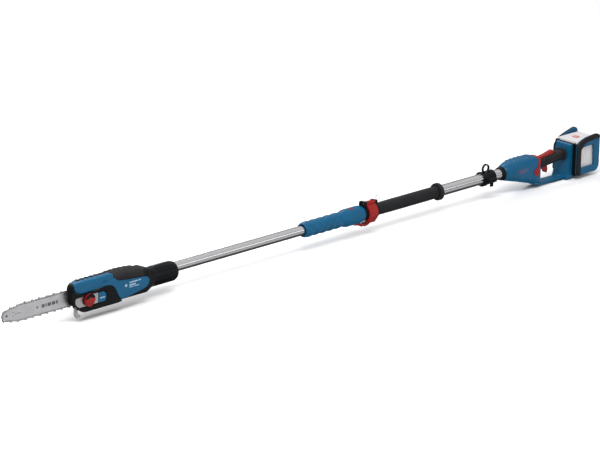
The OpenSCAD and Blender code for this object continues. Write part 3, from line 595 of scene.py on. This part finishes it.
# the blue top cover; sections are (x, nearY, farY, lowZ, highZ, squareness)
coverShape = {"sections": [(-1969, -30.5, -8.5, 26.5, 42, 2.8), (-1967.4, -32.6, -7.6, 24.6, 43.9, 3.2),
                           (-1964, -33.7, -7, 22, 45.6, 3.8), (-1954, -34, -7, 15.5, 46.8, 4.4),
                           (-1943, -34, -7, 11.8, 47.4, 4.8), (-1918, -34, -7, 11.6, 47.5, 4.8),
                           (-1875, -34, -7, 14, 47.5, 4.8), (-1850, -34, -7, 18, 47.5, 4.8),
                           (-1838, -33.4, -7, 24, 47, 4.6), (-1829, -32.6, -7, 30, 44, 4.2)]}
bm = bmesh.new()
loftX(bm, coverShape["sections"], step=1.8, sides=72)
place(bm, "headCover", "saw_head", "blue_shell", ("top_cover",), rounding=0.5)

# the blue panel behind it, widest at the front and drawn in towards the barrel
panelShape = {"outline": [(-1866, 33, 0), (-1836, 38, 4), (-1826, 33, 4), (-1811, 21.5, 8), (-1777, 17.5, 10),
                          (-1709, 11.5, 5), (-1700, 7, 4), (-1697, -2, 6), (-1699, -10, 5), (-1708, -18.5, 6),
                          (-1740, -25, 10), (-1790, -33, 5), (-1802, -30, 6), (-1811, -18, 9), (-1820, 3, 9),
                          (-1832, 14.5, 9), (-1850, 18, 0), (-1866, 18, 0)],
              "nearY": -34, "farY": -30.8}
bm = bmesh.new()
addPlate(bm, panelShape["outline"], panelShape["nearY"], panelShape["farY"])
place(bm, "sidePanel", "saw_head", "blue_shell", ("side_panel",), rounding=1.3, segments=4)

# the black cap that closes the head's front
capShape = {"sections": [(-1976, -27, -12, 6, 38, 2.4), (-1974.5, -30.2, -9, 4, 41, 2.8),
                         (-1971, -32, -7.8, 3, 43.3, 3.2), (-1966, -32.8, -7.6, 3, 44.6, 3.6)]}
bm = bmesh.new()
loftX(bm, capShape["sections"], step=1.2, sides=72)
place(bm, "frontCap", "saw_head", "black_shell", rounding=0.4)

# the toothed ridge along the cover's top
ridge = {"firstX": -1947, "pitch": 16.5, "teeth": 5, "foot": 47.4, "crest": 49, "ramp": 2.2, "flat": 5.3,
         "front": [(-1972, 33, 0), (-1963, 42.6, 5), (-1951, 46.6, 4)],
         "back": [(-1864, 48, 2), (-1840, 47.6, 3), (-1830, 42, 0), (-1850, 36, 0), (-1960, 30, 0)],
         "nearY": -20.5, "farY": -9}
ridgeLine = list(ridge["front"])
for i in range(ridge["teeth"]):
    rise = ridge["firstX"] + ridge["pitch"] * i
    top = rise + ridge["ramp"]
    fall = top + ridge["flat"]
    ridgeLine += [(rise, ridge["foot"], 0), (top, ridge["crest"], 1), (fall, ridge["crest"], 1),
                  (fall + ridge["ramp"], ridge["foot"], 0)]
bm = bmesh.new()
addPlate(bm, ridgeLine + ridge["back"], ridge["nearY"], ridge["farY"])
place(bm, "ridgeStrip", "saw_head", "black_rubber", ("top_ridge",), rounding=0.8, segments=3)

# plain marks on the panel and the cover's insert, as (start, end, low, high)
headMarks = {"dot": (-1783, 2), "dotR": 4, "panelY": (-34.25, -33.95), "insertY": (-33.25, -32.95),
             "panel": ((-1771, -1741, 6.4, 9.4), (-1738, -1730, 6.4, 9.4), (-1771, -1748, -1.6, 2.4),
                       (-1771, -1757, -6.4, -4.2), (-1754, -1736, -6.4, -4.2)),
             "insert": (-1876, -1858, -14, -11)}
bm = bmesh.new()
addPin(bm, headMarks["dot"][0], *headMarks["panelY"], headMarks["dot"][1], headMarks["dotR"], 32)
for start, end, low, high in headMarks["panel"]:
    addBlock(bm, start, end, *headMarks["panelY"], low, high)
start, end, low, high = headMarks["insert"]
addBlock(bm, start, end, *headMarks["insertY"], low, high)
place(bm, "paleMarks", "saw_head", "blue_shell", material=inks["pale"], smooth=False)

# the chain cover: a rim with a window over a thicker body
rim = {"outline": [(-1976, 25, 3), (-1966, 23, 6), (-1946, 11.8, 10), (-1918, 11.4, 0), (-1875, 13.6, 20),
                   (-1848, 17.8, 10), (-1833, 14.3, 9), (-1821, 3, 9), (-1813, -18, 9), (-1805, -30.4, 5),
                   (-1795, -37, 3), (-1806, -40, 6), (-1941, -40.3, 14), (-1976, -8, 16)],
       "window": [(-1965, 4, 5), (-1853, 8, 12), (-1850, -18, 12), (-1862, -27, 6), (-1945, -27, 6),
                  (-1965, -14, 8)],
       "nearY": -34, "farY": -30,
       "body": [(-1975.4, 24, 3), (-1966, 22, 6), (-1946, 11, 10), (-1850, 11, 0), (-1850, -39.6, 0),
                (-1941, -39.6, 14), (-1975.4, -8, 16)],
       "bodyY": (-30.2, -16.5)}
bm = bmesh.new()
addPlate(bm, rim["outline"], rim["nearY"], rim["farY"], rim["window"])
addPlate(bm, rim["body"], *rim["bodyY"])
place(bm, "coverFrame", "saw_head", "black_shell", ("chain_cover",), rounding=1.6, segments=4, angle=40)

# the rubber hump, with soft ribs over its top and a slanted front edge
hump = {"sections": [(-1836, -32.6, 18, 6, 43, 2.5), (-1822, -33, 21, 6, 43, 2.5),
                     (-1790, -33, 22, 5, 43, 2.5),
                     (-1752, -32.6, 22, 3, 41.2, 2.5), (-1730, -32.4, 22, 1, 38, 2.5),
                     (-1714, -31, 22, -2, 32, 2.5),
                     (-1702, -29.6, 22, -5, 26, 2.4), (-1694, -28.6, 22, -8, 21, 2.3)],
        "ribHigh": 1.5, "ribPitch": 17.5, "ribFrom": -1822, "ribEnd": -1716, "ribLow": 24,
        "slant": 0.75, "slantTop": 44, "slantEnd": -1780}


def humpRibs(x, y, z):
    if z < hump["ribLow"]:
        return 0.0
    wave = 0.5 + 0.5 * cos(2 * pi * (x - hump["ribFrom"]) / hump["ribPitch"])
    fade = min(1.0, max(0.0, (hump["ribEnd"] - x) / 14)) * min(1.0, (z - hump["ribLow"]) / 8)
    return hump["ribHigh"] * (wave ** 1.6 - 0.55) * fade


def humpSlant(x, y, z):
    fade = min(1.0, max(0.0, (hump["slantEnd"] - x) / 54))
    return max(0.0, hump["slantTop"] - z) * hump["slant"] * fade


bm = bmesh.new()
loftX(bm, hump["sections"], step=1.3, sides=72, lift=humpRibs, shift=humpSlant)
place(bm, "gripHump", "saw_head", "black_rubber", ("top_pad",), rounding=0.6, angle=45)

# long ribs on the motor barrel's rear end
barrel = {"angles": (-116, -96, -76, -56, -36, -16, 4, 24, 44, 84, 104, 124), "width": 6, "z": -8,
          "profile": [(-1664, 27.2), (-1658, 29.7), (-1604, 29.7), (-1596, 27.2)]}
barrelAxis = spot(0, 0, barrel["z"])
bm = bmesh.new()
for angle in barrel["angles"]:
    earlier = set(bm.verts)
    verts = [bm.verts.new(spot(x, 0, barrel["z"] + r)) for x, r in barrel["profile"]]
    edges = [bm.edges.new(pair) for pair in zip(verts, verts[1:])]
    bmesh.ops.spin(bm, geom=verts + edges, cent=barrelAxis, axis=(1, 0, 0), angle=radians(barrel["width"]),
                   steps=4,
                   use_merge=False)
    bmesh.ops.rotate(bm, cent=barrelAxis, matrix=Matrix.Rotation(radians(angle), 3, "X"),
                     verts=[v for v in bm.verts if v not in earlier])
place(bm, "barrelRibs", "saw_head", "black_shell")
print("saw head pieces made")


# both tubes, turned from the boxes of their CAD nodes
tubes = {"wall": 1.5, "pieces": (("inner_tube", "innerTubeSkin", "saw_head"),
                                 ("outer_tube", "outerTubeSkin", "handle"))}
for nodeName, pieceName, body in tubes["pieces"]:
    low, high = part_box(nodeName)
    radius = (high.z - low.z) / 2 / mm
    bore = radius - tubes["wall"]
    front, rear = low.x / mm, high.x / mm
    bm = bmesh.new()
    turnX(bm, [(front, bore), (front, radius), (rear, radius), (rear, bore)], steps=96)
    place(bm, pieceName, body, "bare_tube", (nodeName,), rounding=0.3, segments=2, angle=40)

# the coupling sleeve: soft bulges in front, a smooth swell behind
sleeve = {"front": [(-1086, 16.2), (-1086, 19.2), (-1083.5, 20.6)],
          "back": [(-936, 21.4), (-929, 22.4), (-922, 24.8), (-917, 25.5), (-870, 25.5), (-862, 25.1),
                   (-855, 24.1),
                   (-852.2, 22.6), (-852.2, 16.2)],
          "bulgeFrom": -1080, "step": 1.25, "count": 113, "pitch": 28, "valley": -1082, "r": 20.8,
          "high": 1.95}
sleeveLine = list(sleeve["front"])
for i in range(sleeve["count"]):
    x = sleeve["bulgeFrom"] + sleeve["step"] * i
    bulge = (0.5 - 0.5 * cos(2 * pi * (x - sleeve["valley"]) / sleeve["pitch"])) ** 0.55
    sleeveLine.append((x, sleeve["r"] + sleeve["high"] * bulge))
bm = bmesh.new()
turnX(bm, sleeveLine + sleeve["back"], steps=80)
place(bm, "sleeveSkin", "handle", "blue_shell", ("sleeve_near", "sleeve_far"), rounding=0.5, angle=50)

button = {"x": -897, "y": -6, "z": 24.6, "lean": 14, "size": (11, 7, 2.2)}
bm = bmesh.new()
matrix = Matrix.Translation(spot(button["x"], button["y"], button["z"]))
matrix = matrix @ Matrix.Rotation(radians(button["lean"]), 4, "X")
size = Matrix.Diagonal((*(edge * mm for edge in button["size"]), 1))
bmesh.ops.create_cube(bm, size=1.0, matrix=matrix @ size)
place(bm, "sleeveButton", "handle", "red_plastic", rounding=0.9)

catch = {"half": 6.5,
         "outline": [(-886, -21, 0), (-886, -27, 2), (-864, -32, 4), (-852, -38, 2), (-846, -36.5, 2),
                     (-840, -40, 3),
                     (-822, -36.5, 4), (-816, -30, 2), (-820, -27.6, 1), (-834, -29.5, 3), (-846, -31, 2),
                     (-858, -26.5, 0), (-858, -21, 0)]}
bm = bmesh.new()
addPlate(bm, catch["outline"], -catch["half"], catch["half"])
place(bm, "catchTail", "pole_catch", "red_plastic", ("release_catch",), rounding=1.0)

# the foam grip, crowned between its ends
grip = {"front": -794, "rear": -542, "bore": 16.02, "endR": 17.0, "crown": 1.2, "stations": 28}
outline = [(grip["front"], grip["bore"])]
for i in range(grip["stations"] + 1):
    t = i / grip["stations"]
    crown = 1.0 - (2 * t - 1) ** 8
    outline.append((grip["front"] + 0.4 + (grip["rear"] - grip["front"] - 0.8) * t,
                    grip["endR"] + grip["crown"] * crown))
outline.append((grip["rear"], grip["bore"]))
bm = bmesh.new()
turnX(bm, outline, steps=72)
foam = place(bm, "foamSleeve", "handle", "foam", ("foam_grip",))
print("pole pieces made")


# the handle's housing, with slanted ribs over its nose, and the bar under the fingers
shell = {"housing": [(-264, -19.4, 19.4, -20, 18.6, 2.3), (-257, -22, 22, -23, 23, 2.5),
                     (-244, -24.8, 24.8, -26, 27, 2.8), (-228, -27, 27, -30, 30, 3.2),
                     (-214, -28, 28, -33.5, 31.4, 3.5), (-180, -28, 28, -43, 32, 3.8),
                     (-152, -28, 28, -51, 32, 4),
                     (-140, -28, 28, -54.5, 31, 4), (-130, -27, 27, -57.5, 27.5, 3.9),
                     (-122, -25.6, 25.6, -59.5, 22, 3.8), (-117, -23.6, 23.6, -59.8, 17, 3.6)],
         "base": [(-141, -24, 24, -56, -42, 4), (-126, -22, 22, -60.4, -50, 4),
                  (-110, -19, 19, -64.6, -55, 4.5),
                  (-96, -17.4, 17.4, -65, -57.4, 5), (-20, -17, 17, -65, -57.4, 5),
                  (0, -17, 17, -65, -57, 5)],
         "ribHigh": 1.5, "ribPitch": 17, "ribSlant": 0.35, "ribFront": -238, "ribRear": -160, "ribFrom": -232,
         "ribLow": 14}


def noseRibs(x, y, z):
    if z < shell["ribLow"] or x > shell["ribRear"] or x < shell["ribFront"]:
        return 0.0
    wave = max(0.0, cos(2 * pi * (x - shell["ribSlant"] * y - shell["ribFrom"]) / shell["ribPitch"])) ** 2
    ends = min(1.0, (shell["ribRear"] - x) / 10) * min(1.0, (x - shell["ribFront"]) / 8)
    return shell["ribHigh"] * wave * min(1.0, (z - shell["ribLow"]) / 8) * ends


bm = bmesh.new()
loftX(bm, shell["housing"], step=1.6, sides=80, lift=noseRibs)
loftX(bm, shell["base"], step=4, sides=56)
place(bm, "handleFront", "handle", "blue_shell", ("handle_shell_near", "handle_shell_far"), rounding=1.0,
      angle=50)

# the red arch: its foot sinks into the housing and its top leans back
trim = {"sections": [(-142, -30.4, 30.4, -50, 25.6, 3.2), (-140.8, -30.8, 30.8, -50, 26.2, 3.2),
                     (-135.4, -30.8, 30.8, -50, 26.2, 3.2), (-134, -30.4, 30.4, -50, 25.6, 3.2)],
        "lean": 0.46, "leanFrom": -13, "sinkBelow": -16, "sink": -7.0,
        "discX": -139, "discZ": -14, "discR": 11.5, "discIn": 27, "discOut": 31}


def trimLean(x, y, z):
    return max(0.0, z - trim["leanFrom"]) * trim["lean"]


def trimSink(x, y, z):
    return trim["sink"] if z < trim["sinkBelow"] else 0.0


bm = bmesh.new()
loftX(bm, trim["sections"], step=1, sides=88, lift=trimSink, shift=trimLean)
for side in (-1, 1):
    inner, outer = sorted((side * trim["discIn"], side * trim["discOut"]))
    addPin(bm, trim["discX"], inner, outer, trim["discZ"], trim["discR"], 40)
place(bm, "trimArch", "handle", "red_plastic", ("handle_trim",), rounding=0.9, angle=40)

# the upright block in front of the battery, and the floor under it
bay = {"outline": [(-7, -61, 4), (-2, -50, 8), (0.5, -16, 20), (6, 36, 6), (10, 40.5, 3), (16.5, 40.5, 0),
                   (16.5, -65, 0), (-7, -65, 0)],
       "half": 29, "floor": (12, 80, -65, -56, 3), "floorHalf": 24}
bm = bmesh.new()
addPlate(bm, bay["outline"], -bay["half"], bay["half"])
place(bm, "batteryBay", "handle", "blue_shell", rounding=3.2, segments=5, angle=50)
bm = bmesh.new()
addPlate(bm, boxCorners(*bay["floor"]), -bay["floorHalf"], bay["floorHalf"])
place(bm, "bayFloor", "handle", "blue_shell", rounding=2, segments=3, angle=50)

# the side guards with their windows, and the rubber bumpers over their front and top edges
guard = {"hole": [(34, -34, 5), (33, 19, 5), (42, 29, 6), (90, 31, 6), (94, -34, 6)],
         "tail": [(116, -42, 7), (104, -54, 7)], "y": (41, 47), "bumperY": (43.4, 49.4)}
guardSides = (
    {"side": -1, "guard": "guardNear", "bumper": "bumperNear", "node": ("guard_near",),
     "bumperNode": ("guard_bumpers",),
     "outline": [(17.6, -54, 6), (17.6, 36, 5), (26, 47, 6), (50, 56, 10), (97, 61, 9), (109, 59, 5),
                 (116, 50, 5)],
     "rubber": [(17.3, -54.4, 5), (17.3, 36, 5), (25.7, 47.4, 6), (50, 56.4, 10), (97, 61.4, 9),
                (109.3, 59.4, 5),
                (116, 51, 4), (113, 45.5, 3), (97, 47, 4), (54, 42.5, 6), (41, 35, 5), (33, 26, 5),
                (33, -54.4, 4)]},
    {"side": 1, "guard": "guardFar", "bumper": "bumperFar", "node": ("guard_far",), "bumperNode": (),
     "outline": [(17.6, -54, 6), (17.6, 22, 6), (34, 41, 7), (62, 51, 12), (102, 61, 8), (112, 58, 5),
                 (116, 48, 5)],
     "rubber": [(17.3, -54.4, 5), (17.3, 22, 6), (33.8, 41.4, 7), (62, 51.4, 12), (102, 61.4, 8),
                (112.3, 58.4, 5),
                (116, 49, 4), (113, 44, 3), (100, 47, 4), (64, 38, 6), (45, 31, 5), (33, 18, 5),
                (33, -54.4, 4)]})
for half in guardSides:
    bm = bmesh.new()
    addPlate(bm, half["outline"] + guard["tail"], *sorted(half["side"] * y for y in guard["y"]),
             guard["hole"])
    place(bm, half["guard"], "handle", "blue_shell", half["node"], rounding=1.4, segments=4, angle=50)
    bm = bmesh.new()
    addPlate(bm, half["rubber"], *sorted(half["side"] * y for y in guard["bumperY"]))
    place(bm, half["bumper"], "handle", "black_rubber", half["bumperNode"], rounding=1.6, segments=4,
          angle=50)

# plain faint marks on the housing, as (start, end, low, high)
housingMark = {"y": (-28.25, -27.7), "bars": ((-222, -219, -8, 6), (-214, -186, -7, 5), (-183, -177, -7, 5))}
bm = bmesh.new()
for start, end, low, high in housingMark["bars"]:
    addBlock(bm, start, end, *housingMark["y"], low, high)
place(bm, "housingMarks", "handle", "blue_shell", material=inks["faint"], smooth=False)
print("rear handle pieces made")


# degrees for the angles, metres for the rest, but millimetres for the lens and sensor
view = {"azimuth": -45.18, "elevation": 17.94, "roll": 1.32, "distance": 11.893, "lens": 252.0,
        "sensor": 36.0,
        "aim": (-0.850, 0.0, 0.068), "sideways": 0.172930, "upwards": -0.032649}


def placeCamera():
    az, el, roll = (radians(view[key]) for key in ("azimuth", "elevation", "roll"))
    back = Vector((sin(az) * cos(el), -cos(az) * cos(el), sin(el)))
    forward = -back
    right = forward.cross(Vector((0, 0, 1))).normalized()
    up = right.cross(forward)
    rolledRight = cos(roll) * right + sin(roll) * up
    rolledUp = -sin(roll) * right + cos(roll) * up
    eye = Vector(view["aim"]) - view["distance"] * forward
    eye += view["upwards"] * rolledUp - view["sideways"] * rolledRight
    data = bpy.data.cameras.new("viewCamera")
    data.sensor_width = view["sensor"]
    data.lens = view["lens"]
    data.clip_end = 100
    camera = bpy.data.objects.new("viewCamera", data)
    camera.matrix_world = Matrix.Translation(eye) @ Matrix((
        (rolledRight.x, rolledUp.x, back.x, 0), (rolledRight.y, rolledUp.y, back.y, 0),
        (rolledRight.z, rolledUp.z, back.z, 0), (0, 0, 0, 1)))
    scene.collection.objects.link(camera)
    scene.camera = camera


# each light is (name, place, aim, size, power); a band is (height from -1 to 1 mapped to 0 to 1, brightness),
# so that metal reflects a dark ground, a pale wall, a dark gap and a bright ceiling
studio = {"floorHalf": 40, "worldStrength": 0.85,
          "bands": ((0.0, 0.10), (0.20, 0.10), (0.28, 0.85), (0.44, 0.80), (0.50, 0.16), (0.56, 0.16),
                    (0.63, 0.45), (0.74, 0.50), (0.80, 1.0), (1.0, 1.0)),
          "lights": (("keyLight", (-2.6, -1.6, 3.6), (-0.9, 0, 0.05), (3.2, 0.9), 150),
                     ("fillLight", (1.6, -4.2, 1.4), (-0.8, 0, 0.05), (3.6, 1.6), 26),
                     ("rimLight", (-0.8, 2.4, 2.8), (-0.9, 0, 0.05), (3.6, 0.8), 55))}


def addLight(name, place, aim, size, power):
    data = bpy.data.lights.new(name, "AREA")
    data.shape = "RECTANGLE"
    data.size, data.size_y = size
    data.energy = power
    light = bpy.data.objects.new(name, data)
    light.location = place
    light.rotation_euler = (Vector(aim) - Vector(place)).to_track_quat("-Z", "Y").to_euler()
    scene.collection.objects.link(light)


def makeStage():
    bm = bmesh.new()
    bmesh.ops.create_grid(bm, x_segments=1, y_segments=1, size=studio["floorHalf"])
    mesh = bpy.data.meshes.new("studioFloor")
    bm.to_mesh(mesh)
    bm.free()
    floor = bpy.data.objects.new("studioFloor", mesh)
    floor.location.z = cadBounds[0][2]
    scene.collection.objects.link(floor)
    material, graph, shader = newMaterial("paleFloor", 0.85)
    tone = mixColours(graph, noise(graph, placedPattern(graph), 0.8, 2), (0.86, 0.86, 0.87),
                      (0.90, 0.90, 0.90))
    graph.links.new(tone, shader.inputs["Base Color"])
    mesh.materials.append(material)
    floor.visible_glossy = False  # mirror rays see the bands below the horizon instead
    world = bpy.data.worlds.new("studioWorld")
    world.use_nodes = True
    sky = world.node_tree
    coords = sky.nodes.new("ShaderNodeTexCoord")
    split = sky.nodes.new("ShaderNodeSeparateXYZ")
    sky.links.new(coords.outputs["Generated"], split.inputs["Vector"])
    ramp = sky.nodes.new("ShaderNodeValToRGB")
    stops = studio["bands"]
    while len(ramp.color_ramp.elements) < len(stops):
        ramp.color_ramp.elements.new(0.5)
    for element, (position, level) in zip(ramp.color_ramp.elements, stops):
        element.position = position
        element.color = (level, level, level * 1.01, 1)
    sky.links.new(spread(sky, split.outputs["Z"], -1.0, 1.0), ramp.inputs["Fac"])
    sky.links.new(ramp.outputs["Color"], sky.nodes["Background"].inputs["Color"])
    sky.nodes["Background"].inputs["Strength"].default_value = studio["worldStrength"]
    scene.world = world
    for lamp in studio["lights"]:
        addLight(*lamp)


placeCamera()
makeStage()
scene.view_settings.view_transform = "Standard"
scene.view_settings.look = "None"
print("camera and lights placed")
